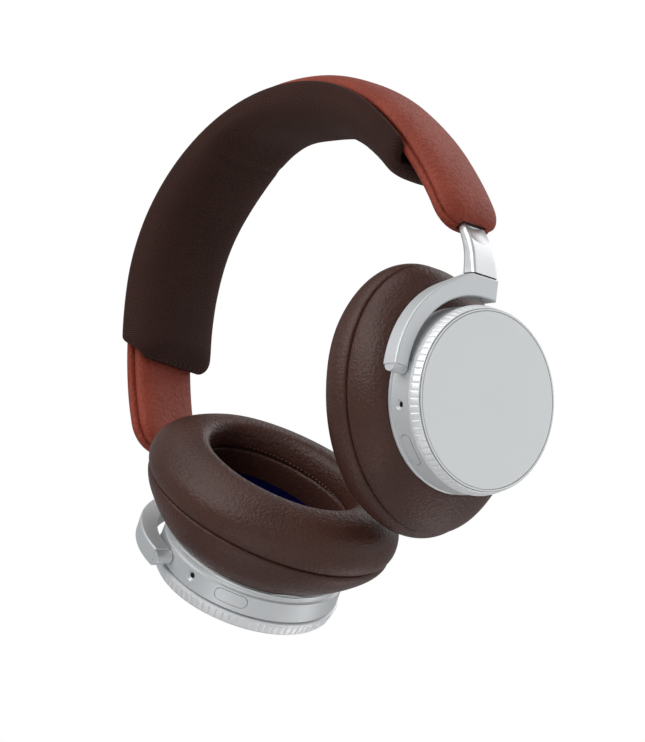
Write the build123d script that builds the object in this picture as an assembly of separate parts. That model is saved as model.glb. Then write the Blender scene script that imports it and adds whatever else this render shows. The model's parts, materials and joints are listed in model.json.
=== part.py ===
from build123d import *
import os
from math import acos, asin, atan2, cos, degrees, radians, sin

# Over-ear headphones, millimetres.  +Z is up, +X is the wearer's right and the wearer faces +Y.
# The origin is where the head cushion rests on the crown of the head.
# The rest pose is the relaxed one: the band springs in, and both cups lean towards each other.

# ---- headband arch: rim curve in the XZ plane, angles from the crown ----
rim_top = 9.5
arch_radii = (70.0, 62.6, 125.0)
arch_turns = (30.0, 61.0, 86.6)
cushion_turn = 72.0
core_turn = 61.0
rail_turn = 73.0

# ---- band cross-section ----
cover_half = 13.5
cover_crown = 5.5
lining_half = 12.7
lining_drop = 5.0
lining_round = 1.9
seam_gap = 0.3
channel_half = 8.2
channel_top = 3.6
channel_bottom = -3.2
steel_half = 7.0
steel_thick = 0.8
tongue_way_half = 5.6
carrier_half = 11.0
carrier_thick = 0.8
knit_half = 17.4
lip_middle = 15.5
lip_width = 2.7
lip_height = 8.0
lip_turn = 70.0
knit_depths = ((0.0, 9.5), (14.0, 12.0), (28.0, 14.0), (46.0, 14.6), (62.0, 14.2), (72.0, 9.5))

# ---- slider ----
slide_lean = 9.0
slide_foot_x = 74.0
slide_foot_z = 52.0
tongue_width = 9.0
tongue_thick = 2.2
tongue_length = 30.0
guide_width = 15.6
guide_thick = 4.6
guide_low = 6.0
guide_high = 25.0
leaf_height = 15.0
guide_play = 0.08
arm_width_top = 10.4
arm_width_low = 11.6
arm_thick_top = 3.3
scoop_r = 16.0
scoop_depth = 1.05
scoop_rise = -2.6
arm_thick_low = 5.9
arm_round = 1.3

# ---- yoke ----
pivot_x = 55.0
pivot_z = -129.5
yoke_lean = 27.0
yoke_inner = 32.1
yoke_outer = 38.1
yoke_half = 3.25
yoke_drop = 1.3
block_half = 5.8
block_top = 38.0
swivel_r = 1.5
swivel_play = 0.05
swivel_sink = 6.2
swivel_rise = 3.6
washer_thick = 0.3
joint_gap = 0.05
boss_r = 2.5
pivot_r = 1.8
pivot_play = 0.05
bush_r = 2.9
boss_face = 31.7
pivot_in = 23.2
pivot_out = 36.6
edge_round = 0.7

# ---- cup: local x up the cup, local y to the rear (where the pivot is), local z outward ----
pivot_rise = 4.0
cup_forward = 1.5
shell_r = 31.4
shell_front = 4.0
shell_rear = -5.0
shell_wall = 1.8
groove_front = -3.4
groove_r = 30.7
flange_r = 31.2
flange_rear = -6.6
web_thick = 1.4
hub_r = 26.6
hub_bore = 21.0
hub_front = 8.0
notch_angle = -79.0
notch_length = 17.0
notch_height = 0.8
dial_rear = 4.3
dial_front = 7.8
dial_r_rear = 31.9
dial_r_front = 31.0
dial_play = 0.06
flute_count = 78
flute_cut_r = 0.38
disc_front = 9.2
disc_r = 29.8
trim_r = 30.5
mic_angle = -15.5
mic_height = -0.5
mic_r = 0.9
mic_sink_r = 1.9
button_angle = -45.0
button_height = -0.5
button_length = 11.5
button_width = 4.3
button_gap = 0.18
button_back = 28.1
port_angle = -112.0
port_length = 9.2
port_width = 3.4
driver_r = 20.0
oval_turn = 23.0
oval_shift = 1.0
pad_front = -37.5
pad_sections = ((-6.8, 31.6, 30.6), (-10.5, 36.6, 33.0), (-15.0, 41.6, 34.6), (-21.0, 45.0, 35.6),
                (-28.0, 45.4, 36.0), (-33.5, 42.6, 33.4), (-37.5, 36.0, 27.0))
mouth_long = 27.0
mouth_short = 18.5
pad_seat = -10.2
cloth_height = -19.4
cloth_thick = 0.6
collar_thick = 1.4

# ---- rest pose of each side: swivel and tilt from straight, in degrees ----
rest_pose = {"right": (-1.5, 3.4), "left": (16.7, -3.0)}


def arch_centres():
    """Centre of each tangent arc of the right half of the rim curve, as (x, z)."""
    centres = [(0.0, rim_top - arch_radii[0])]
    for i in (1, 2):
        turn = radians(arch_turns[i - 1])
        step = arch_radii[i - 1] - arch_radii[i]
        last = centres[-1]
        centres.append((last[0] + step * sin(turn), last[1] + step * cos(turn)))
    return centres


def arch_plane(angle):
    """Plane across the band: local x is the outward normal, local y is +Y."""
    size = abs(angle)
    side = -1.0 if angle < 0 else 1.0
    index = 0 if size <= arch_turns[0] else (1 if size <= arch_turns[1] else 2)
    cx, cz = arch_centres()[index]
    normal = (sin(radians(size)), cos(radians(size)))
    point = (side * (cx + arch_radii[index] * normal[0]), 0, cz + arch_radii[index] * normal[1])
    outward = Vector(side * normal[0], 0, normal[1])
    return Plane(origin=point, x_dir=outward, z_dir=outward.cross(Vector(0, 1, 0)))


def arch_path(start, end):
    """Wire of tangent arcs along the rim curve between two angles."""
    marks = [a for a in (-arch_turns[1], -arch_turns[0], arch_turns[0], arch_turns[1]) if start < a < end]
    stops = [start] + marks + [end]
    arcs = []
    for a, b in zip(stops[:-1], stops[1:]):
        points = [arch_plane(t).origin for t in (a, (a + b) / 2, b)]
        arcs.append(ThreePointArc(*points))
    return Wire(arcs)


def along_arch(section, start, end):
    """Sweep a section, drawn as (outward, across), along the arch."""
    return sweep(arch_plane(start) * section, path=arch_path(start, end))


def slab(low, high, half, centre=0.0):
    """Rectangle from low to high outward and half wide each way across."""
    return Pos((low + high) / 2, centre) * Rectangle(high - low, 2 * half)


def crown_section():
    """Outer half of the band: a crowned top with rounded sides, over the channel."""
    side = Line((seam_gap / 2, -cover_half), (seam_gap / 2, cover_half))
    knee = cover_half - 1.2
    top = Spline([(seam_gap / 2, cover_half), (cover_crown * 0.55, knee), (cover_crown, 0),
                  (cover_crown * 0.55, -knee), (seam_gap / 2, -cover_half)])
    return make_face(side + top) - slab(-1, channel_top, channel_half)


def lining_section():
    """Inner half of the band: a shallow rounded pad under the channel."""
    middle = -(lining_drop + seam_gap / 2) / 2
    pad = Pos(middle, 0) * RectangleRounded(lining_drop - seam_gap / 2, 2 * lining_half, lining_round)
    return pad - slab(channel_bottom, 1, channel_half)


def slide_frame(side_x):
    """Frame at the foot of the slide: local z runs up into the band, local x is outward."""
    lean = radians(slide_lean)
    up = Vector(-side_x * sin(lean), 0, cos(lean))
    foot = (side_x * slide_foot_x, 0, pivot_z + slide_foot_z)
    outward = Vector(side_x * cos(lean), 0, sin(lean))
    return Plane(origin=foot, x_dir=outward, z_dir=up)


def band_pieces():
    """The soft and stiff layers of the headband."""
    end = arch_turns[2]
    cover = along_arch(crown_section(), -end, end)
    lining = along_arch(lining_section(), -end, end)
    play = 0.1
    core_box = slab(channel_bottom + play, channel_top - play - steel_thick, channel_half - play)
    rails = [slab(channel_bottom + play, channel_top - play, (channel_half - tongue_way_half) / 2 - play,
                  s * (channel_half + tongue_way_half) / 2) for s in (-1, 1)]
    core = along_arch(core_box, -core_turn, core_turn)
    for a, b in ((-rail_turn, -core_turn), (core_turn, rail_turn)):
        for rail in rails:
            core += along_arch(rail, a, b)
    steel_low = channel_top - play - steel_thick
    steel = along_arch(slab(steel_low, steel_low + steel_thick, steel_half), -core_turn, core_turn)
    carrier_low = -lining_drop - play - carrier_thick
    carrier = along_arch(slab(carrier_low, carrier_low + carrier_thick, carrier_half), -62, 62)
    return {"band_cover": cover, "band_lining": lining, "band_core": core, "band_spring": steel,
            "cushion_carrier": carrier}


def knit_depth(angle):
    """Depth of the head cushion below the rim curve at one angle."""
    size = abs(angle)
    for (a, da), (b, db) in zip(knit_depths[:-1], knit_depths[1:]):
        if size <= b:
            return da + (db - da) * (size - a) / (b - a)
    return knit_depths[-1][1]


def head_cushion():
    """Knitted pad under the band, thicker on each side of the crown."""
    roof = -lining_drop - 1.2
    sections = []
    for step in range(-7, 8):
        angle = step * cushion_turn / 7
        low = min(-knit_depth(angle), roof - 3.0)
        side = Line((roof, -knit_half + 1), (roof, knit_half - 1))
        belly = Spline([(roof, knit_half - 1), (low * 0.62 + roof * 0.38, knit_half - 4.5), (low, 0),
                        (low * 0.62 + roof * 0.38, -knit_half + 4.5), (roof, -knit_half + 1)])
        sections.append(arch_plane(angle) * make_face(side + belly))
    pad = loft(sections)
    for s in (-1, 1):
        pad += along_arch(Pos(-3.0, s * lip_middle) * RectangleRounded(lip_height, lip_width, 1.2), -lip_turn, lip_turn)
    return pad


def guide_piece(side_x):
    """Sleeve in the band's end that the slider tongue runs in."""
    body = Pos(0, 0, (guide_low + guide_high) / 2) * Box(guide_thick, guide_width, guide_high - guide_low)
    way = Box(tongue_thick + 2 * guide_play, tongue_width + 2 * guide_play, 4 * guide_high)
    seat = Pos(guide_thick / 2, 0, leaf_height) * Box(2.0, 5.0, 8.2)
    return slide_frame(side_x) * (body - way - seat)


def detent_leaf(side_x):
    """Leaf spring in the guide's seat that rubs on the tongue."""
    leaf = Pos(guide_thick / 2 - 0.55, 0, leaf_height) * Box(0.4, 4.6, 8.0)
    return slide_frame(side_x) * leaf


def yoke_frame(swivel):
    """Frame on the pivot axis: local x up the yoke, local y to the rear, local z outward."""
    lean = radians(yoke_lean)
    up = Vector(sin(lean), 0, cos(lean))
    out = Vector(cos(lean), 0, -sin(lean)).rotate(Axis((0, 0, 0), up), swivel)
    return Plane(origin=(pivot_x, 0, pivot_z), x_dir=up, z_dir=out)


def cup_frame(swivel, tilt):
    """Frame at the cup's centre, tilted about the pivot axis and set forward of the swivel axis."""
    turned = yoke_frame(swivel).location * Location((0, 0, 0), (0, -tilt, 0))
    return turned * Location((-pivot_rise, -cup_forward, 0))


def across(point, angle):
    """Plane square to a bar that leans outward by an angle: local x is its thickness, y its width."""
    a = radians(angle)
    return Plane(origin=point, x_dir=(cos(a), 0, -sin(a)), z_dir=(sin(a), 0, cos(a)))


def arm_foot():
    """Centre of the arm's lower face, on the swivel axis."""
    lean = radians(yoke_lean)
    reach = block_top + washer_thick + 2 * joint_gap
    return Vector(pivot_x + reach * sin(lean), 0, pivot_z + reach * cos(lean))


def slider_arm():
    """Bent slider arm: foot on the swivel, slim neck, scooped outer face and flat tongue."""
    slide = slide_frame(1)
    foot = arm_foot()
    stations = ((foot, yoke_lean, arm_thick_low, arm_width_low),
                (foot + Vector(1.2, 0, 4.2), 18.0, 5.2, 11.4),
                (foot + Vector(2.0, 0, 8.6), 6.0, 4.5, 11.1),
                (foot + Vector(2.05, 0, 13.0), -3.5, 3.9, 10.8),
                (slide.origin, -slide_lean, arm_thick_top, arm_width_top))
    bar = loft([across(p, a) * RectangleRounded(t, w, arm_round) for p, a, t, w in stations])
    tongue = slide * Pos(0, 0, tongue_length / 2 - 1.0) * Box(tongue_thick, tongue_width, tongue_length + 2.0)
    scoop = slide * Pos(arm_thick_top / 2 + scoop_r - scoop_depth, 0, scoop_rise) * Sphere(scoop_r)
    seat = slide * Pos(0, 0, guide_high) * Box(tongue_thick, tongue_width, 2 * guide_high)
    socket = across(foot, yoke_lean) * Pos(0, 0, swivel_rise / 2) * Cylinder(swivel_r, swivel_rise)
    return bar + tongue - (scoop - seat) - socket


def swivel_pin():
    """Steel pin, fast in the arm's foot and turning in the yoke block."""
    low = -joint_gap * 2 - washer_thick - swivel_sink
    pin = Pos(0, 0, (low + swivel_rise) / 2) * Cylinder(swivel_r, swivel_rise - low)
    return across(arm_foot(), yoke_lean) * pin


def swivel_washer():
    """Thin dark washer in the joint line between arm and yoke."""
    plate = extrude(RectangleRounded(arm_thick_low - 0.5, arm_width_low - 0.5, arm_round), washer_thick)
    plate -= Cylinder(swivel_r, 4 * washer_thick)
    return across(arm_foot(), yoke_lean) * Pos(0, 0, -washer_thick) * plate


def yoke_bar(radius, low, high):
    """Round bar on the pivot axis in the yoke's frame; its ends are measured from the cup's centre."""
    return Pos(0, (low + high) / 2 - cup_forward, 0) * Rot(90, 0, 0) * Cylinder(radius, high - low)


def yoke_hook():
    """Hook-shaped fork: block under the arm, quarter arc to the rear and a pivot boss."""
    ring = Pos(-yoke_drop, -cup_forward) * (Circle(yoke_outer) - Circle(yoke_inner))
    keep = Pos(yoke_outer / 2, (yoke_outer - block_half) / 2) * Rectangle(yoke_outer, yoke_outer + block_half)
    block_low = yoke_inner - yoke_drop
    block = Pos((block_low + block_top) / 2, 0) * Rectangle(block_top - block_low, 2 * block_half)
    corner = (block_top, block_half)
    reach = Vector(block_top + yoke_drop, block_half + cup_forward, 0)
    turn = atan2(reach.Y, reach.X) + acos(yoke_outer / reach.length)
    touch = (yoke_outer * cos(turn) - yoke_drop, yoke_outer * sin(turn) - cup_forward)
    shoulder = make_face(Polyline([corner, touch, (block_low, block_half)], close=True))
    hook = Pos(0, 0, -yoke_half) * extrude((ring & keep) + block + shoulder, 2 * yoke_half)
    flats = hook.faces().sort_by(Axis.Z)
    rims = [edge for edge in flats[0].edges() + flats[-1].edges() if edge.center().X > edge_round]
    hook = fillet(rims, edge_round)
    boss = yoke_bar(boss_r, boss_face, yoke_outer - 0.4)
    bore = yoke_bar(pivot_r, pivot_in, pivot_out)
    swivel_bore = Pos(block_top, 0, 0) * Rot(0, 90, 0) * Cylinder(swivel_r + swivel_play, 30.0)
    return hook + boss - bore - swivel_bore


def pivot_shaft():
    """Steel shaft, fast in the yoke's boss and turning in the cup's bush."""
    return yoke_bar(pivot_r, pivot_in, pivot_out)


def turned(points):
    """Solid of revolution about local z from (radius, height) points."""
    return revolve(Plane.XZ * make_face(Polyline([(r, z) for r, z in points], close=True)), Axis.Z)


def disc(radius, low, high):
    """Round plate between two heights."""
    return Pos(0, 0, (low + high) / 2) * Cylinder(radius, high - low)


def annulus(inner, outer, low, high):
    """Flat ring between two heights."""
    return disc(outer, low, high) - disc(inner, low - 1, high + 1)


def radial(angle, reach, height):
    """Location on the wall: local z points outward, local x runs round the cup."""
    a = radians(angle)
    outward = Vector(sin(a), cos(a), 0)
    point = outward * reach + Vector(0, 0, height)
    return Plane(origin=point, x_dir=Vector(0, 0, 1).cross(outward), z_dir=outward)


def pivot_line(radius, low, high):
    """Round bar on the pivot axis in the cup's frame."""
    return Pos(pivot_rise, (low + high) / 2, 0) * Rot(90, 0, 0) * Cylinder(radius, high - low)


def housing(has_port):
    """Turned aluminium cup with web, pivot hole, microphone countersink, button slot and one port slot."""
    inner = shell_r - shell_wall
    shell = turned([(inner, shell_rear), (groove_r, shell_rear), (groove_r, groove_front - 0.5),
                    (shell_r, groove_front), (shell_r, shell_front - 0.5), (shell_r - 0.5, shell_front),
                    (hub_bore, shell_front), (hub_bore, shell_front - web_thick),
                    (inner, shell_front - web_thick)])
    shell -= pivot_line(bush_r, 20, 40)
    hole = Pos(0, 0, -2) * Cylinder(mic_r, 8)
    sink = Pos(0, 0, -mic_r * 0.55) * Cone(mic_r, mic_sink_r, mic_r * 1.3)
    shell -= radial(mic_angle, shell_r, mic_height) * (hole + sink)
    slot = extrude(SlotOverall(button_length + 2 * button_gap, button_width + 2 * button_gap), 10)
    shell -= radial(button_angle, shell_r - 5, button_height) * slot
    if has_port:
        port = extrude(SlotOverall(port_length, port_width), 10)
        shell -= radial(port_angle, shell_r - 5, button_height) * port
    return shell


def base_flange():
    """Polished ring between housing and cushion, with a prying notch for lifting the cushion off."""
    inner = shell_r - shell_wall
    ring = turned([(inner, flange_rear), (flange_r - 0.7, flange_rear), (flange_r, flange_rear + 0.6),
                   (flange_r, shell_rear - 0.4), (flange_r - 0.4, shell_rear), (inner, shell_rear)])
    notch = radial(notch_angle, flange_r, flange_rear) * Box(notch_length, 2 * notch_height, 1.4)
    return ring - notch


def dial_ring():
    """Fluted ring that turns on the hub."""
    bore = hub_r + dial_play
    ring = turned([(bore, dial_rear), (dial_r_rear - 0.3, dial_rear), (dial_r_rear, dial_rear + 0.4),
                   (dial_r_rear - 0.1, dial_rear + 1.6), (dial_r_front + 0.6, dial_front - 1.0),
                   (dial_r_front, dial_front), (bore, dial_front)])
    slope = degrees(asin((dial_r_rear - dial_r_front) / (dial_front - dial_rear)))
    middle = (dial_r_rear + dial_r_front) / 2 + flute_cut_r
    cutter = Pos(middle, 0, (dial_rear + dial_front) / 2) * Rot(0, -slope, 0) * Cylinder(flute_cut_r, 12)
    cuts = [Rot(0, 0, 360 * i / flute_count) * cutter for i in range(flute_count)]
    return ring - cuts


def pill_button():
    """Flush pill-shaped button with a retaining flange behind the wall."""
    frame = radial(button_angle, 0, button_height)
    body = extrude(SlotOverall(button_length, button_width), 40) & Pos(0, 0, 31) * Box(20, 20, 6)
    flange = Pos(0, 0, button_back) * extrude(SlotOverall(button_length + 1.2, button_width + 1.0), 0.5)
    return (frame * (body + flange)) & disc(shell_r + 0.08, -6, 6)


def oval(long_half, short_half):
    """Ellipse turned the way the ear leans."""
    return Rot(0, 0, oval_turn) * Pos(oval_shift, 0) * Ellipse(long_half, short_half)


def ear_cushion():
    """Closed ring of padding with an oval mouth."""
    body = loft([Pos(0, 0, z) * oval(a, b) for z, a, b in pad_sections])
    mouth = Pos(0, 0, pad_front - 1) * extrude(oval(mouth_long, mouth_short), -pad_front)
    seat = disc(flange_r - 0.9, pad_seat, 0)
    return body - mouth - seat


def pad_ring(top):
    """Plate in the cushion's seat, with an oval collar that carries the acoustic cloth."""
    low = cloth_height + cloth_thick
    plate = disc(flange_r - 1.0, pad_seat + 0.1, top)
    collar = Pos(0, 0, low) * extrude(oval(mouth_long - 0.2, mouth_short - 0.2), pad_seat + 0.2 - low)
    way = Pos(0, 0, low - 1) * extrude(oval(mouth_long - collar_thick, mouth_short - collar_thick), top + 2 - low)
    return plate + collar - way


def cup_pieces():
    """Every piece that turns with the cup, in the cup's frame."""
    inner = shell_r - shell_wall
    base = flange_rear - 1.6
    back = flange_rear - 0.1
    pieces = {
        "base_flange": base_flange(),
        "pivot_bush": pivot_line(bush_r, 24.0, boss_face - 0.3) - pivot_line(pivot_r + pivot_play, 10, 40),
        "dial_hub": annulus(hub_bore, hub_r, shell_front, hub_front),
        "disc_carrier": disc(trim_r, hub_front, hub_front + 0.3),
        "touch_disc": chamfer(disc(disc_r, hub_front + 0.3, disc_front).edges().sort_by(Axis.Z)[-1], 0.2),
        "disc_trim": annulus(disc_r + 0.12, trim_r, hub_front + 0.3, disc_front - 0.12),
        "microphone": radial(mic_angle, inner, mic_height) * Pos(0, 0, 0.4) * Cylinder(mic_r, 0.8),
        "button_switch": radial(button_angle, 26.6, button_height) * Box(6.0, 3.6, 1.6),
        "circuit_board": disc(21.5, 0.4, 1.6),
        "baffle": disc(29.9, base, back) - disc(17.0, base - 1, back + 1),
        "driver_frame": annulus(15.0, driver_r, back, back + 2.6),
        "driver_magnet": disc(11.0, back + 0.6, back + 4.0),
        "driver_diaphragm": disc(16.9, base + 0.6, base + 1.0),
        "pad_ring": pad_ring(base),
        "acoustic_cloth": Pos(0, 0, cloth_height) * extrude(oval(mouth_long - 0.3, mouth_short - 0.3), cloth_thick),
        "ear_cushion": ear_cushion(),
    }
    return pieces


def extra_pieces():
    """Pieces that differ from one cup to the other."""
    port = extrude(SlotOverall(port_length - 0.2, port_width - 0.2), 6.0)
    port -= Pos(0, 0, 2.0) * extrude(SlotOverall(port_length - 1.2, port_width - 1.1), 6.0)
    right = {"housing": housing(True), "charging_port": radial(port_angle, shell_r - 6.4, button_height) * port}
    left = {"housing": housing(False), "battery": Pos(-6.0, 0, -1.2) * Box(22.0, 26.0, 2.4)}
    return {"right": right, "left": left}


def side_pieces(side):
    """All the pieces of one side, placed as on the right-hand side."""
    swivel, tilt = rest_pose[side]
    hook = yoke_frame(swivel)
    cup = cup_frame(swivel, tilt)
    placed = {
        "slider_guide": guide_piece(1),
        "detent_leaf": detent_leaf(1),
        "slider_arm": slider_arm(),
        "swivel_pin": swivel_pin(),
        "swivel_washer": swivel_washer(),
        "yoke": hook * yoke_hook(),
        "pivot_shaft": hook * pivot_shaft(),
        "dial_ring": cup * dial_ring(),
        "pill_button": cup * pill_button(),
    }
    for name, piece in {**cup_pieces(), **extra_pieces()[side]}.items():
        placed[name] = cup * piece
    return placed


def main():
    """Write one STEP file for each node."""
    os.makedirs("parts", exist_ok=True)
    nodes = dict(band_pieces(), head_cushion=head_cushion())
    for side in rest_pose:
        for name, piece in side_pieces(side).items():
            nodes[name + "_" + side] = mirror(piece, about=Plane.YZ) if side == "left" else piece
    for name, piece in nodes.items():
        export_step(piece, os.path.join("parts", name + ".step"))


if __name__ == "__main__":
    main()
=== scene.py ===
import json
import math
import bpy
import numpy as np
from mathutils import Matrix, Quaternion, Vector, noise


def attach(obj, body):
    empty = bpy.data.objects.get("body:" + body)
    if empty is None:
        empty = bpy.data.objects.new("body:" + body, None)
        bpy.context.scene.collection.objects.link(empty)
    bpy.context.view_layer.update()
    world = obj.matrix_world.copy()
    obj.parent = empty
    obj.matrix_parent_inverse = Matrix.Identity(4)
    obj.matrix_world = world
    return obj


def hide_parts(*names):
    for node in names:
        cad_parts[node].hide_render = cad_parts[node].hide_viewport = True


# Over-ear headphones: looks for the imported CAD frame.  Shapes below are worked out in millimetres
# in the same frame as the CAD (+Z up, +X the wearer's right, +Y the way the wearer faces) and
# stored in metres.
MM = 0.001

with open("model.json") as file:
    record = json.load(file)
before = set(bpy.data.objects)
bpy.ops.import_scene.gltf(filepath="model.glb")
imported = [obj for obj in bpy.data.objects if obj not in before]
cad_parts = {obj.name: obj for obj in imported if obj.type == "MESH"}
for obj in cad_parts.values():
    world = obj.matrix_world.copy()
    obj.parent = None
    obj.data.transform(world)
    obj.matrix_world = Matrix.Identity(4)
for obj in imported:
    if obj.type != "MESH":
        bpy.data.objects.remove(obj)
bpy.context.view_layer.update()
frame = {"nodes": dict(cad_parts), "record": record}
nodes = frame["nodes"]


# ------------------------------------------------------------------ materials
class Shader:
    """A Principled material with short helpers for its procedural nodes."""

    def __init__(self, name, colour, roughness, metallic=0.0, **sockets):
        self.material = bpy.data.materials.new(name)
        self.material.use_nodes = True
        self.tree = self.material.node_tree
        self.main = self.tree.nodes["Principled BSDF"]
        self.main.inputs["Base Color"].default_value = (*colour, 1.0)
        self.main.inputs["Roughness"].default_value = roughness
        self.main.inputs["Metallic"].default_value = metallic
        for socket, value in sockets.items():
            self.main.inputs[socket.replace("_", " ")].default_value = value
        self.height = None

    def node(self, kind, inputs=None, **settings):
        made = self.tree.nodes.new("ShaderNode" + kind)
        for key, value in settings.items():
            setattr(made, key, value)
        for key, value in (inputs or {}).items():
            if isinstance(value, bpy.types.NodeSocket):
                self.tree.links.new(value, made.inputs[key])
            else:
                made.inputs[key].default_value = value
        return made

    def space(self, scale=(1, 1, 1), uv=False):
        """Coordinates in millimetres, of the object or along its own surface."""
        coords = self.node("TexCoord")
        source = coords.outputs["UV" if uv else "Object"]
        sized = {"Vector": source, "Scale": [1000 * s for s in scale]}
        return self.node("Mapping", sized).outputs["Vector"]

    def noise(self, vector, scale, detail=2.0, rough=0.5):
        inputs = {"Vector": vector, "Scale": scale, "Detail": detail, "Roughness": rough}
        return self.node("TexNoise", inputs).outputs["Fac"]

    def cells(self, vector, scale, feature="F1", smooth=None):
        inputs = {"Vector": vector, "Scale": scale}
        if smooth is not None:
            inputs["Smoothness"] = smooth
        return self.node("TexVoronoi", inputs, feature=feature).outputs["Distance"]

    def maths(self, operation, a, b=0.5, clamp=False):
        return self.node("Math", {0: a, 1: b}, operation=operation, use_clamp=clamp).outputs[0]

    def span(self, value, low, high, to_low=0.0, to_high=1.0):
        made = self.node("MapRange", {"Value": value, "From Min": low, "From Max": high,
                                      "To Min": to_low, "To Max": to_high})
        return made.outputs["Result"]

    def mix(self, factor, first, second):
        made = self.node("Mix", data_type="RGBA")
        self.tree.links.new(factor, made.inputs["Factor"])
        made.inputs["A"].default_value = (*first, 1.0)
        made.inputs["B"].default_value = (*second, 1.0)
        return made.outputs["Result"]

    def colour(self, socket):
        self.tree.links.new(socket, self.main.inputs["Base Color"])

    def roughness(self, socket):
        self.tree.links.new(socket, self.main.inputs["Roughness"])

    def bump(self, height, depth, strength=1.0):
        """Stack one more layer of relief, its depth in millimetres."""
        inputs = {"Height": height, "Distance": depth * MM, "Strength": strength}
        if self.height is not None:
            inputs["Normal"] = self.height
        self.height = self.node("Bump", inputs).outputs["Normal"]
        self.tree.links.new(self.height, self.main.inputs["Normal"])


SEAM_MIDDLE = 15.6  # middle of the band's visible top, in millimetres across from its seam


def leather(name, dark, light, grain, grain_depth, rough, shine, creases=0.0):
    """Pebble-grained hide: soft cells, finer pores, slow colour change and pulled creases."""
    s = Shader(name, light, rough, Specular_IOR_Level=shine)
    here = s.space()
    warp = s.node("TexNoise", {"Vector": here, "Scale": 0.55, "Detail": 2.0}).outputs["Color"]
    bent = s.node("VectorMath", {0: warp, 3: 1.3}, operation="SCALE").outputs["Vector"]
    moved = s.node("VectorMath", {0: here, 1: bent}, operation="ADD").outputs["Vector"]
    pebble = s.cells(moved, grain, feature="SMOOTH_F1", smooth=0.45)
    fine = s.noise(here, grain * 2.6, detail=3.0, rough=0.6)
    slow = s.noise(here, 0.05, detail=2.0)
    tone = s.maths("ADD", s.span(slow, 0.35, 0.65, 0.4, 0.8),
                   s.span(pebble, 0.1, 0.8, 0.15, -0.3), clamp=True)
    s.colour(s.mix(tone, dark, light))
    s.roughness(s.maths("ADD", s.span(fine, 0.3, 0.7, rough - 0.05, rough + 0.06),
                        s.span(pebble, 0, 1, -0.03, 0.08)))
    s.bump(s.span(pebble, 0.0, 1.0, 1.0, 0.0), grain_depth)
    s.bump(fine, grain_depth * 0.45)
    if creases:
        along = s.space((0.75, 0.13, 1.0), uv=True)
        pulled = s.noise(along, 1.0, detail=3.0, rough=0.55)
        across = s.node("SeparateXYZ", {"Vector": s.space(uv=True)}).outputs["Y"]
        off_middle = s.maths("ABSOLUTE", s.maths("SUBTRACT", across, SEAM_MIDDLE))
        near_seam = s.span(off_middle, 5.0, 13.5, 0.05, 1.0)
        s.bump(s.maths("MULTIPLY", s.span(pulled, 0.35, 0.65), near_seam), creases)
    return s.material


def knit(name, dark, light):
    """Thick knitted fabric: fine ribs across the pad, broken into small loops, slightly fuzzy."""
    s = Shader(name, light, 0.95, Specular_IOR_Level=0.15, Sheen_Weight=0.12, Sheen_Roughness=0.5)
    s.main.inputs["Sheen Tint"].default_value = (0.62, 0.42, 0.36, 1.0)
    tilt = {"Vector": s.space(uv=True), "Rotation": (0, 0, math.radians(14))}
    tilted = s.node("Mapping", tilt).outputs["Vector"]
    rows = s.node("TexWave", {"Vector": tilted, "Scale": 0.44, "Distortion": 0.3, "Detail": 1.0,
                              "Detail Scale": 1.5}, bands_direction="X").outputs["Fac"]
    loops = s.node("TexWave", {"Vector": tilted, "Scale": 0.33, "Distortion": 0.5, "Detail": 1.0,
                               "Detail Scale": 1.5}, bands_direction="Y").outputs["Fac"]
    weave = s.maths("MULTIPLY", rows, s.span(loops, 0, 1, 0.6, 1.0))
    fuzz = s.noise(s.space(), 2.4, detail=3.0, rough=0.65)
    slow = s.noise(s.space(), 0.05, detail=2.0)
    tone = s.maths("ADD", s.span(weave, 0, 1, 0.25, 0.62), s.span(fuzz, 0.3, 0.7, -0.1, 0.14))
    tone = s.maths("ADD", tone, s.span(slow, 0.3, 0.7, -0.06, 0.06), clamp=True)
    s.colour(s.mix(tone, dark, light))
    s.bump(weave, 0.14)
    s.bump(fuzz, 0.08)
    return s.material


def metal(name, tint, rough, grain=0.0, metallic=1.0):
    """Anodised aluminium or steel with a fine blasted surface."""
    spread = 0.04
    s = Shader(name, tint, rough, metallic=metallic, Specular_IOR_Level=0.4)
    here = s.space()
    fine = s.noise(here, 5.0, detail=2.0)
    slow = s.noise(here, 0.03, detail=1.0)
    s.roughness(s.maths("ADD", s.span(fine, 0.3, 0.7, rough - spread, rough + spread),
                        s.span(slow, 0.3, 0.7, -0.01, 0.01)))
    dull = tuple(0.97 * c for c in tint)
    s.colour(s.mix(s.span(fine, 0.35, 0.65), dull, tint))
    if grain:
        s.bump(fine, grain)
    return s.material


def drawn_metal(name, tint, rough, depth):
    """Brushed aluminium: long fine scratches along the part."""
    s = Shader(name, tint, rough, metallic=0.92, Anisotropic=0.35)
    lines = s.noise(s.space((1.6, 9.0, 0.12)), 1.0, detail=3.0, rough=0.6)
    s.roughness(s.span(lines, 0.3, 0.7, rough - 0.06, rough + 0.08))
    s.colour(s.mix(s.span(lines, 0.3, 0.7), tuple(0.93 * c for c in tint), tint))
    s.bump(lines, depth)
    return s.material


def plastic(name, tint, rough, grain=0.02):
    """Moulded plastic or film with a faint eroded texture."""
    s = Shader(name, tint, rough, Specular_IOR_Level=0.4)
    fine = s.noise(s.space(), 3.2, detail=2.0)
    s.roughness(s.span(fine, 0.3, 0.7, rough - 0.05, rough + 0.06))
    s.colour(s.mix(fine, tuple(0.8 * c for c in tint), tint))
    s.bump(fine, grain)
    return s.material


def mesh_cloth(name, dark, light, pitch, depth):
    """Fine woven cloth or punched mesh."""
    s = Shader(name, light, 0.95, Specular_IOR_Level=0.05)
    here = s.space()
    holes = s.cells(here, 1.0 / pitch)
    s.colour(s.mix(s.span(holes, 0.2, 0.7), light, dark))
    s.bump(holes, depth)
    return s.material


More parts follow.
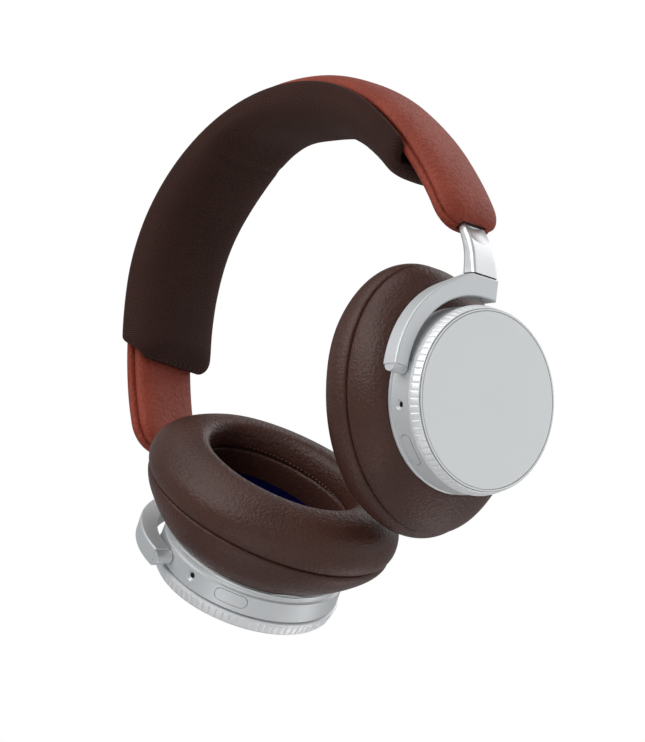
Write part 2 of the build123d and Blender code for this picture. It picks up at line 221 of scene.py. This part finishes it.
finishes = {
    "leather_rust": leather("leather_rust", (0.205, 0.036, 0.020), (0.305, 0.060, 0.036),
                            grain=0.80, grain_depth=0.21, rough=0.48, shine=0.17, creases=0.12),
    "leather_brown": leather("leather_brown", (0.046, 0.0168, 0.0115), (0.072, 0.0275, 0.0190),
                             grain=0.95, grain_depth=0.16, rough=0.36, shine=0.32),
    "knit_brown": knit("knit_brown", (0.012, 0.0045, 0.0034), (0.064, 0.0275, 0.0215)),
    "aluminium_satin": metal("aluminium_satin", (0.68, 0.695, 0.705), 0.50, 0.010, 0.7),
    "aluminium_brushed": drawn_metal("aluminium_brushed", (0.81, 0.82, 0.83), 0.36, 0.002),
    "aluminium_polished": metal("aluminium_polished", (0.70, 0.715, 0.72), 0.46),
    "aluminium_dial": metal("aluminium_dial", (0.84, 0.85, 0.86), 0.46, 0.006, 0.6),
    "aluminium_disc": metal("aluminium_disc", (0.70, 0.715, 0.72), 0.48, 0.006),
    "steel": metal("steel", (0.52, 0.53, 0.54), 0.30),
    "plastic_dark": plastic("plastic_dark", (0.012, 0.012, 0.013), 0.55),
    "mesh_dark": mesh_cloth("mesh_dark", (0.004, 0.004, 0.004), (0.03, 0.03, 0.03), 0.25, 0.05),
    "board_green": plastic("board_green", (0.01, 0.075, 0.035), 0.35),
    "film": plastic("film", (0.04, 0.04, 0.045), 0.25),
    "cell_wrap": plastic("cell_wrap", (0.08, 0.12, 0.18), 0.3),
    "cloth_navy": mesh_cloth("cloth_navy", (0.0002, 0.0002, 0.016), (0.0006, 0.0006, 0.055),
                             0.42, 0.08),
}
thread = plastic("thread", (0.15, 0.078, 0.06), 0.7, 0.04)
for part in frame["record"]["subparts"]:
    for filled in nodes[part["node"]].material_slots:
        filled.material = finishes[part["material_slot"]]


# ------------------------------------------------------------------ mesh helpers
def patch(name, rings, body, finish, stands_for, uv_size, flip=False, caps=True,
          closed_way=False, sharp=35):
    """Skin of quads over rings of points (rings, around, xyz) in mm, wrapped round each ring."""
    count, around = rings.shape[:2]
    faces, corners = [], []
    last = count if closed_way else count - 1
    for i in range(last):
        j = (i + 1) % count
        for k in range(around):
            m = (k + 1) % around
            face = (i * around + k, i * around + m, j * around + m, j * around + k)
            corner = ((i, k), (i, k + 1), (i + 1, k + 1), (i + 1, k))
            faces.append(face[::-1] if flip else face)
            corners.extend(corner[::-1] if flip else corner)
    if caps:
        for i, turn in ((0, not flip), (count - 1, flip)):
            loop = list(range(i * around, (i + 1) * around))
            faces.append(tuple(loop[::-1] if turn else loop))
            corners.extend((i, k) for k in (reversed(range(around)) if turn else range(around)))
    mesh = bpy.data.meshes.new(name)
    mesh.from_pydata((rings.reshape(-1, 3) * MM).tolist(), [], faces)
    layer = mesh.uv_layers.new(name="surface")
    index = np.array(corners)
    far = uv_size[0][np.minimum(index[:, 0], count) % len(uv_size[0])]
    wide = uv_size[1][np.minimum(index[:, 1], len(uv_size[1]) - 1)]
    layer.data.foreach_set("uv", (np.stack([far, wide], 1) * MM).ravel())
    mesh.validate()
    mesh.shade_smooth()
    mesh.set_sharp_from_angle(angle=math.radians(sharp))
    made = bpy.data.objects.new(name, mesh)
    bpy.context.scene.collection.objects.link(made)
    made.data.materials.append(finishes[finish])
    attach(made, body)
    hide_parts(*stands_for)
    return made


def lengths(points):
    """Distance run along a line of points."""
    steps = np.linalg.norm(np.diff(points, axis=0), axis=1)
    return np.concatenate([[0.0], np.cumsum(steps)])


def smooth_step(value, low, high):
    t = np.clip((value - low) / (high - low), 0.0, 1.0)
    return t * t * (3 - 2 * t)


def rounding(distance, radius):
    """Quarter-circle growth from 0 at an edge to 1 at one radius in."""
    t = np.clip(distance / radius, 0.0, 1.0)
    return np.sqrt(1.0 - (1.0 - t) ** 2)


# ------------------------------------------------------------------ headband
RIM_TOP = 9.5
ARCH_RADII = (70.0, 62.6, 125.0)
ARCH_TURNS = (0.0, 30.0, 61.0, 86.6)
arc_ends = np.concatenate([[0.0], np.cumsum([r * math.radians(b - a) for r, a, b in
                                             zip(ARCH_RADII, ARCH_TURNS[:-1], ARCH_TURNS[1:])])])
BAND_END = arc_ends[-1]
PAD_TURN = 72.8
PAD_END = float(np.interp(PAD_TURN, ARCH_TURNS, arc_ends))
CORNER = 12.0       # length over which stations crowd towards an end
END_ROUND = 9.0     # radius of the band's and pad's ends, seen from above
SEAM_GAP = 0.12     # half the gap between the two leathers at their seam
MOUTH_FROM, MOUTH_TO = 3.0, 4.0     # run in from the end where the arm's mouth opens into the channel


def arch(run):
    """Point on the rim curve and outward normal at a distance run from the crown."""
    turn = math.radians(float(np.interp(abs(run), arc_ends, ARCH_TURNS)))
    side = -1.0 if run < 0 else 1.0
    x, z = 0.0, RIM_TOP - ARCH_RADII[0]
    for i in (1, 2):
        if abs(run) > arc_ends[i]:
            bend = math.radians(ARCH_TURNS[i])
            x += (ARCH_RADII[i - 1] - ARCH_RADII[i]) * math.sin(bend)
            z += (ARCH_RADII[i - 1] - ARCH_RADII[i]) * math.cos(bend)
    radius = ARCH_RADII[int(np.searchsorted(arc_ends[1:-1], abs(run)))]
    normal = np.array([math.sin(turn), 0.0, math.cos(turn)])
    point = np.array([x, 0.0, z]) + radius * normal
    return point * (side, 1, 1), normal * (side, 1, 1)


def band_runs(end, pitch=1.0):
    """Stations from end to end, close together where the ends round over."""
    corner = end - CORNER * (1 - np.cos(np.linspace(0, math.pi / 2, 26)))
    middle = np.linspace(0, end - CORNER, int(end / pitch))
    half = np.concatenate([middle[:-1], corner[::-1]])
    return np.concatenate([-half[::-1][:-1], half])


def swept(runs, section):
    """Rings of (outward, across) sections placed along the arch."""
    rings = []
    for run in runs:
        point, normal = arch(run)
        flat = section(run)
        rings.append(point + flat[:, :1] * normal + flat[:, 1:] * np.array([0.0, 1.0, 0.0]))
    return np.array(rings)


def arc_points(half, rise, power, count):
    """Superellipse from +half across over the top to -half."""
    a = np.linspace(0, math.pi, count)
    across = half * np.sign(np.cos(a)) * np.abs(np.cos(a)) ** (2 / power)
    return rise * np.abs(np.sin(a)) ** (2 / power), across


def cover_section(run):
    """Top panel: crowned, its edge rolled into the seam, hollow over the steel spring."""
    gap = BAND_END - abs(run)
    half = 7.0 + 6.5 * rounding(gap, END_ROUND)
    rise = 3.0 + 2.5 * rounding(gap, END_ROUND)
    high, across = arc_points(half, rise, 2.35, 61)
    ripple = np.array([noise.noise(Vector((run * 0.05, y * 0.09, 3.1))) for y in across])
    high = high * (1 + 0.05 * ripple)
    inside = smooth_step(gap, MOUTH_FROM, MOUTH_TO)
    across = across - np.sign(across) * (0.9 + 0.6 * inside) * np.exp(-high / 0.65)
    way, roof = 5.7 + 2.5 * inside, 2.0 + 1.6 * inside
    high = np.concatenate([high + SEAM_GAP, [SEAM_GAP, roof, roof, SEAM_GAP]])
    across = np.concatenate([across, [-way, -way, way, way]])
    return np.stack([high, across], 1)


def lining_section(run):
    """Under panel: shallow pad with its edge rolled up into the seam."""
    gap = BAND_END - abs(run)
    half = 6.9 + 5.8 * rounding(gap, END_ROUND)
    drop = 3.4 + 1.48 * rounding(gap, 7.0)
    high, across = arc_points(half, drop, 3.3, 61)
    inside = smooth_step(gap, MOUTH_FROM, MOUTH_TO)
    across = across - np.sign(across) * (0.9 + 0.4 * inside) * np.exp(-high / 0.6)
    way, floor = 5.6 + 2.6 * inside, -2.3 - 0.9 * inside
    high = np.concatenate([-high - SEAM_GAP, [-SEAM_GAP, floor, floor, -SEAM_GAP]])
    across = np.concatenate([across, [-way, -way, way, way]])
    return np.stack([high, across], 1)


PAD_ROOF = -6.15    # top of the hollow in the head cushion
PAD_THIN = 7.2      # its depth where it rounds over at its ends
PAD_ANGLES = (0, 5, 9, 13, 20, 28, 40, 52, 62, 72)
PAD_DEPTHS = (9.8, 10.2, 11.1, 12.5, 13.4, 13.9, 14.3, 14.2, 13.9, 13.4)
pad_fit = np.polynomial.polynomial.Polynomial.fit(PAD_ANGLES, PAD_DEPTHS, 6)


def pad_depth(run):
    """How far the head cushion reaches below the rim curve."""
    turn = float(np.interp(abs(run), arc_ends, ARCH_TURNS))
    gap = PAD_END - abs(run)
    fold = math.exp(-((turn - 9.0) / 1.3) ** 2) if run < 0 else 0.0
    full = float(pad_fit(turn)) - 0.6 * fold
    return PAD_THIN + (full - PAD_THIN) * float(rounding(gap, 8.0))


def pad_section(run):
    """Head cushion: full belly, sides that wrap the edges of the band, hollow over the carrier."""
    gap = PAD_END - abs(run)
    half = 12.2 + 5.2 * float(rounding(gap, END_ROUND))
    depth = pad_depth(run)
    raised = float(smooth_step(gap, 1.0, 8.0))
    shoulder = -6.3 + 2.7 * raised
    a = np.linspace(0, math.pi, 57)
    belly_y = half * np.sign(np.cos(a)) * np.abs(np.cos(a)) ** 0.80
    belly_h = shoulder - (depth + shoulder) * np.abs(np.sin(a)) ** 0.86
    swell = np.array([noise.noise(Vector((run * 0.045, y * 0.07, 7.7))) for y in belly_y])
    belly_h = belly_h - 0.35 * swell * np.abs(np.sin(a))
    lip = -5.9 + 7.1 * raised
    inner = min(12.8 + 1.3 * float(smooth_step(lip, -1.0, 0.8)), half - 0.6)
    lip_h = np.array([shoulder + (lip - shoulder) * t for t in (0.35, 0.7, 0.92, 1.0, 0.9, 0.5)])
    lip_y = np.array([half, half - 0.12, half - 0.6, (half + inner) / 2, inner + 0.25, inner])
    roof = np.array([[PAD_ROOF, -inner], [PAD_ROOF, inner]])
    high = np.concatenate([belly_h, lip_h, roof[:, 0], lip_h[::-1]])
    across = np.concatenate([belly_y, -lip_y, roof[:, 1], lip_y[::-1]])
    return np.stack([high, across], 1)


def band_patch(name, section, end, finish, stands_for, flip, sharp):
    runs = band_runs(end)
    rings = swept(runs, section)
    ring = rings[len(rings) // 2]
    wide = lengths(np.concatenate([ring, ring[:1]]))
    return patch(name, rings, "headband", finish, stands_for, (runs, wide), flip=flip, sharp=sharp)


cover = band_patch("cover_leather", cover_section, BAND_END, "leather_rust", ["band_cover"],
                   flip=False, sharp=50)
lining = band_patch("lining_leather", lining_section, BAND_END, "leather_rust", ["band_lining"],
                    flip=True, sharp=50)
pad = band_patch("head_pad_knit", pad_section, PAD_END, "knit_brown", ["head_cushion"],
                 flip=True, sharp=60)


# ------------------------------------------------------------------ ear cushions
YOKE_LEAN = math.radians(27.0)
PIVOT = (55.0, 0.0, -129.5)
PIVOT_RISE = 4.0
CUP_FORWARD = 1.5
REST_TURNS = {"right": (-1.5, 3.4), "left": (16.7, -3.0)}
OVAL_TURN = math.radians(23.0)


def cup_frame(side):
    """Millimetre frame of a cup: x up the cup, y to the pivot, z away from the head."""
    swivel, tilt = (math.radians(t) for t in REST_TURNS[side])
    up = Vector((math.sin(YOKE_LEAN), 0, math.cos(YOKE_LEAN)))
    out = Vector((math.cos(YOKE_LEAN), 0, -math.sin(YOKE_LEAN)))
    out.rotate(Quaternion(up, swivel))
    axes = Matrix((up, out.cross(up), out)).transposed().to_4x4()
    placed = Matrix.Translation(PIVOT) @ axes @ Matrix.Rotation(-tilt, 4, "Y")
    placed = placed @ Matrix.Translation((-PIVOT_RISE, -CUP_FORWARD, 0))
    if side == "left":
        placed = Matrix.Scale(-1, 4, (1, 0, 0)) @ placed
    return np.array(placed)


def through(points, steps):
    """Smooth line through control points, with that many steps from each to the next."""
    p = np.array(points, float)
    p = np.vstack([2 * p[0] - p[1], p, 2 * p[-1] - p[-2]])
    line = []
    for i in range(1, len(p) - 2):
        for t in np.arange(steps) / steps:
            line.append(0.5 * (2 * p[i] + (p[i + 1] - p[i - 1]) * t
                               + (2 * p[i - 1] - 5 * p[i] + 4 * p[i + 1] - p[i + 2]) * t ** 2
                               + (3 * p[i] - p[i - 1] - 3 * p[i + 1] + p[i + 2]) * t ** 3))
    return np.array(line)


# (height, long half, short half, shift along the oval) from the housing round to the mouth
SIDE_PANEL = ((-6.85, 31.0, 30.7, 0.2), (-8.3, 33.6, 32.2, 0.4), (-11.2, 37.8, 34.1, 0.6),
              (-14.8, 41.7, 35.3, 0.6), (-18.2, 44.2, 35.9, 0.6), (-20.3, 44.8, 35.9, 0.6),
              (-21.2, 43.7, 34.9, 0.6))
FRONT_PANEL = ((-21.2, 43.7, 34.9, 0.6), (-22.0, 45.2, 36.2, 0.6), (-25.2, 46.0, 37.0, 0.6),
               (-29.3, 45.2, 36.4, 0.6), (-33.0, 42.6, 34.0, 0.6), (-35.6, 39.0, 30.6, 0.6),
               (-37.1, 35.4, 27.1, 0.6), (-37.8, 31.9, 23.7, 0.6), (-37.4, 29.5, 21.3, 0.6),
               (-35.7, 28.0, 19.8, 0.6), (-32.9, 27.3, 19.0, 0.6), (-30.2, 27.1, 18.8, 0.6),
               (-28.4, 27.8, 19.4, 0.8))
INNER_PANEL = ((-28.4, 27.8, 19.4, 0.8), (-27.2, 27.1, 18.7, 1.0), (-21.0, 27.0, 18.5, 1.0),
               (-15.0, 27.0, 18.5, 1.0), (-10.35, 27.0, 18.5, 1.0))
SEAT = ((-10.35, 27.0, 18.5, 1.0), (-10.3, 30.35, 30.35, 0.0), (-6.95, 30.35, 30.35, 0.0))
AROUND = 224        # points round each ring
WEDGE = 0.05        # how much the cushion thins for each millimetre up the cup
PAD_GIRTH = 250.0   # length round the oval, for its texture coordinates


def pad_profile():
    """Every ring of the ear cushion, from the housing over the crest and down to the seat."""
    parts = [through(SIDE_PANEL, 6), through(FRONT_PANEL, 6), through(INNER_PANEL, 5)]
    return np.vstack(parts + [np.array(SEAT[:1]), np.array(SEAT[1:])])


def oval_rings(profile):
    """Rings in the cup's frame."""
    a = np.linspace(0, 2 * math.pi, AROUND, endpoint=False)
    x = profile[:, 3:4] + profile[:, 1:2] * np.cos(a)
    y = profile[:, 2:3] * np.sin(a)
    c, s = math.cos(OVAL_TURN), math.sin(OVAL_TURN)
    up, rear = c * x - s * y, s * x + c * y
    housing_height, crest_height = SIDE_PANEL[0][0], FRONT_PANEL[7][0]
    reach = np.clip((profile[:, :1] - housing_height) / (crest_height - housing_height), 0.0, 1.0)
    return np.stack([up, rear, profile[:, :1] + WEDGE * up * reach], 2)


def ring_normals(rings):
    """Outward normals of a ring mesh, closed both ways."""
    way = np.roll(rings, -1, 0) - np.roll(rings, 1, 0)
    turn = np.roll(rings, -1, 1) - np.roll(rings, 1, 1)
    n = np.cross(turn, way)
    return n / np.maximum(np.linalg.norm(n, axis=2, keepdims=True), 1e-9)


def ear_pad(side):
    """Leather ear cushion of three panels with slow swells and puckers at its seams."""
    profile = pad_profile()
    rings = oval_rings(profile)
    normals = ring_normals(rings)
    shift = np.zeros(rings.shape[:2])
    seam = np.linalg.norm(profile[:, :2] - np.array(FRONT_PANEL[0][:2]), axis=1)
    inner = np.linalg.norm(profile[:, :2] - np.array(FRONT_PANEL[-1][:2]), axis=1)
    seed = 11.0 if side == "right" else 29.0
    for i in range(len(rings)):
        soft = smooth_step(seam[i], 0.8, 6.0) * smooth_step(-profile[i, 0], 9.0, 14.0)
        for k in range(AROUND):
            x, y, z = rings[i, k]
            slow = noise.noise(Vector((x * 0.045, y * 0.045, z * 0.06 + seed)))
            turn = math.atan2(y, x)
            tight = noise.noise(Vector((turn * 16.0, z * 0.12, seed)))
            shift[i, k] = 0.45 * slow * soft + 0.16 * tight * math.exp(-inner[i] / 2.5)
            shift[i, k] += 0.05 * tight * math.exp(-seam[i] / 3.0)
    seat = profile[:, 0] > -10.4
    shift[seat & (profile[:, 3] < 0.1)] = 0.0
    rings = rings + normals * shift[:, :, None]
    placed = cup_frame(side)
    world = rings @ placed[:3, :3].T + placed[:3, 3]
    runs = lengths(profile[:, :2])
    wide = np.linspace(0, 1, AROUND + 1) * PAD_GIRTH
    made = patch("ear_pad_" + side, world, "cup_" + side, "leather_brown", ["ear_cushion_" + side],
                 (np.append(runs, runs[-1] + 0.1), wide), flip=side == "left", caps=False,
                 closed_way=True, sharp=60)
    return made


def stitches(side):
    """Row of short thread stitches along the cushion's inner seam."""
    long_half, short_half, forward, height = 27.3, 18.9, 1.0, -29.4
    thread_r, arch_lift, share = 0.24, 0.35, 0.7
    placed = cup_frame(side)
    count, sides, steps = 108, 6, 5
    verts, faces = [], []
    for i in range(count):
        start = len(verts)
        for j in range(steps + 1):
            t = j / steps
            a = 2 * math.pi * (i + 0.12 + share * t) / count
            centre = np.array([forward + long_half * math.cos(a), short_half * math.sin(a)])
            out = -np.array([math.cos(a), math.sin(a)])
            lift = arch_lift * math.sin(math.pi * t)
            thick = thread_r * (0.55 + 0.45 * math.sin(math.pi * t))
            for k in range(sides):
                b = 2 * math.pi * k / sides
                flat = centre + out * (lift + thick * math.cos(b))
                x = math.cos(OVAL_TURN) * flat[0] - math.sin(OVAL_TURN) * flat[1]
                y = math.sin(OVAL_TURN) * flat[0] + math.cos(OVAL_TURN) * flat[1]
                verts.append((x, y, height + thick * math.sin(b)))
        for j in range(steps):
            for k in range(sides):
                m = (k + 1) % sides
                p, q = start + j * sides, start + (j + 1) * sides
                faces.append((p + k, p + m, q + m, q + k))
        faces.append(tuple(range(start, start + sides))[::-1])
        faces.append(tuple(range(start + steps * sides, start + (steps + 1) * sides)))
    points = np.array(verts) @ placed[:3, :3].T + placed[:3, 3]
    mesh = bpy.data.meshes.new("pad_stitches_" + side)
    mesh.from_pydata((points * MM).tolist(), [], faces)
    mesh.shade_smooth()
    made = bpy.data.objects.new("pad_stitches_" + side, mesh)
    bpy.context.scene.collection.objects.link(made)
    made.data.materials.append(thread)
    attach(made, "cup_" + side)


# ------------------------------------------------------------------ dial rings
# (radius, height, share of the flute depth) round the ring, starting at its bore
DIAL_RINGS = ((26.66, 4.3, 0), (31.5, 4.3, 0), (31.8, 4.42, 0), (31.9, 4.7, 0), (31.84, 4.98, 0),
              (31.66, 5.06, 0), (31.72, 5.14, 0.2), (31.78, 5.3, 1), (31.6, 6.1, 1), (31.42, 6.9, 1),
              (31.24, 7.7, 1), (31.08, 8.3, 1), (31.0, 8.48, 0.2), (30.88, 8.62, 0), (30.74, 8.66, 0),
              (30.62, 8.6, 0), (30.6, 7.8, 0), (26.66, 7.8, 0))
FLUTES = 78
FLUTE_STEPS = 12


def dial(side):
    """Dial ring with pillow-shaped flutes between fine grooves, close round the disc's trim."""
    turn = np.linspace(0, 2 * math.pi, FLUTES * FLUTE_STEPS, endpoint=False)
    place = np.arange(len(turn)) % FLUTE_STEPS / FLUTE_STEPS
    near = np.minimum(place, 1 - place)
    relief = 0.24 * np.exp(-(near / 0.055) ** 2) + 0.07 * (1 - np.sin(math.pi * place))
    profile = np.array(DIAL_RINGS)
    reach = profile[:, :1] - profile[:, 2:] * relief
    height = np.repeat(profile[:, 1:2], len(turn), 1)
    rings = np.stack([reach * np.cos(turn), reach * np.sin(turn), height], 2)
    placed = cup_frame(side)
    world = rings @ placed[:3, :3].T + placed[:3, 3]
    runs = lengths(profile[:, :2])
    wide = np.linspace(0, 1, len(turn) + 1) * 200.0
    return patch("dial_" + side, world, "dial_" + side, "aluminium_dial", ["dial_ring_" + side],
                 (np.append(runs, runs[-1] + 3.5), wide), flip=side == "left", caps=False,
                 closed_way=True, sharp=40)


for side in REST_TURNS:
    ear_pad(side)
    stitches(side)
    dial(side)


# ------------------------------------------------------------------ stage, camera and light
VIEW_RIGHT = Vector((0.6839, 0.6945, -0.2236)).normalized()
VIEW_BACK = VIEW_RIGHT.cross(Vector((0.5054, -0.2299, 0.8317))).normalized()
VIEW_UP = VIEW_BACK.cross(VIEW_RIGHT)
AIM = VIEW_RIGHT * 0.018288 - VIEW_UP * 0.074227
PICTURE_HIGH = 0.24733      # height of the picture at the object, in metres
CAMERA_AWAY = 0.6
FLOOR_HALF, FLOOR_HEIGHT = 4, -0.65
facing = Matrix((VIEW_RIGHT, VIEW_UP, VIEW_BACK)).transposed().to_4x4()

camera = bpy.data.objects.new("camera", bpy.data.cameras.new("camera"))
bpy.context.scene.collection.objects.link(camera)
camera.data.type = "ORTHO"
camera.data.ortho_scale = PICTURE_HIGH
camera.data.clip_start, camera.data.clip_end = 0.01, 20.0
camera.matrix_world = Matrix.Translation(AIM + VIEW_BACK * CAMERA_AWAY) @ facing
bpy.context.scene.camera = camera

floor_mesh = bpy.data.meshes.new("floor")
corners = [(-FLOOR_HALF, -FLOOR_HALF, FLOOR_HEIGHT), (FLOOR_HALF, -FLOOR_HALF, FLOOR_HEIGHT),
           (FLOOR_HALF, FLOOR_HALF, FLOOR_HEIGHT), (-FLOOR_HALF, FLOOR_HALF, FLOOR_HEIGHT)]
floor_mesh.from_pydata(corners, [], [(0, 1, 2, 3)])
floor = bpy.data.objects.new("floor", floor_mesh)
bpy.context.scene.collection.objects.link(floor)
pale = Shader("pale_floor", (0.86, 0.86, 0.86), 0.8)
floor_mesh.materials.append(pale.material)


LIGHT_AWAY = 0.8


def softbox(name, right, up, back, size, glow):
    """Square area light seen from the object in that direction of the picture."""
    light = bpy.data.lights.new(name, "AREA")
    light.size = size
    light.energy = glow * math.pi * size * size
    made = bpy.data.objects.new(name, light)
    bpy.context.scene.collection.objects.link(made)
    way = (VIEW_RIGHT * right + VIEW_UP * up + VIEW_BACK * back).normalized()
    turned = way.to_track_quat("Z", "Y").to_matrix().to_4x4()
    made.matrix_world = Matrix.Translation(AIM + way * LIGHT_AWAY) @ turned
    made.visible_camera = False
    return made


# name: direction (right, up, towards the camera), size in metres, brightness
LIGHTS = {
    "key": (-0.58, 0.6, 0.55, 0.7, 2.4),
    "fill": (1.0, 0.1, 0.15, 0.9, 0.62),
    "low": (0.45, -0.9, -0.1, 0.5, 2.4),
    "top": (-0.15, 1.0, 0.05, 0.5, 1.6),
    "rim": (0.62, 0.55, -0.56, 0.6, 1.4),
    "under": (-0.3, -0.76, 0.58, 0.6, 2.6),
}
for name, row in LIGHTS.items():
    softbox(name, *row)

world = bpy.data.worlds.new("studio")
bpy.context.scene.world = world
world.use_nodes = True
tree = world.node_tree
shown = tree.nodes["Background"]
shown.inputs["Color"].default_value = (1, 1, 1, 1)
shown.inputs["Strength"].default_value = 1.0
lit = tree.nodes.new("ShaderNodeBackground")
lit.inputs["Color"].default_value = (0.96, 0.98, 1.0, 1)
lit.inputs["Strength"].default_value = 0.38
path = tree.nodes.new("ShaderNodeLightPath")
choice = tree.nodes.new("ShaderNodeMixShader")
tree.links.new(path.outputs["Is Camera Ray"], choice.inputs["Fac"])
tree.links.new(lit.outputs["Background"], choice.inputs[1])
tree.links.new(shown.outputs["Background"], choice.inputs[2])
tree.links.new(choice.outputs["Shader"], tree.nodes["World Output"].inputs["Surface"])
bpy.context.scene.view_settings.view_transform = "Standard"
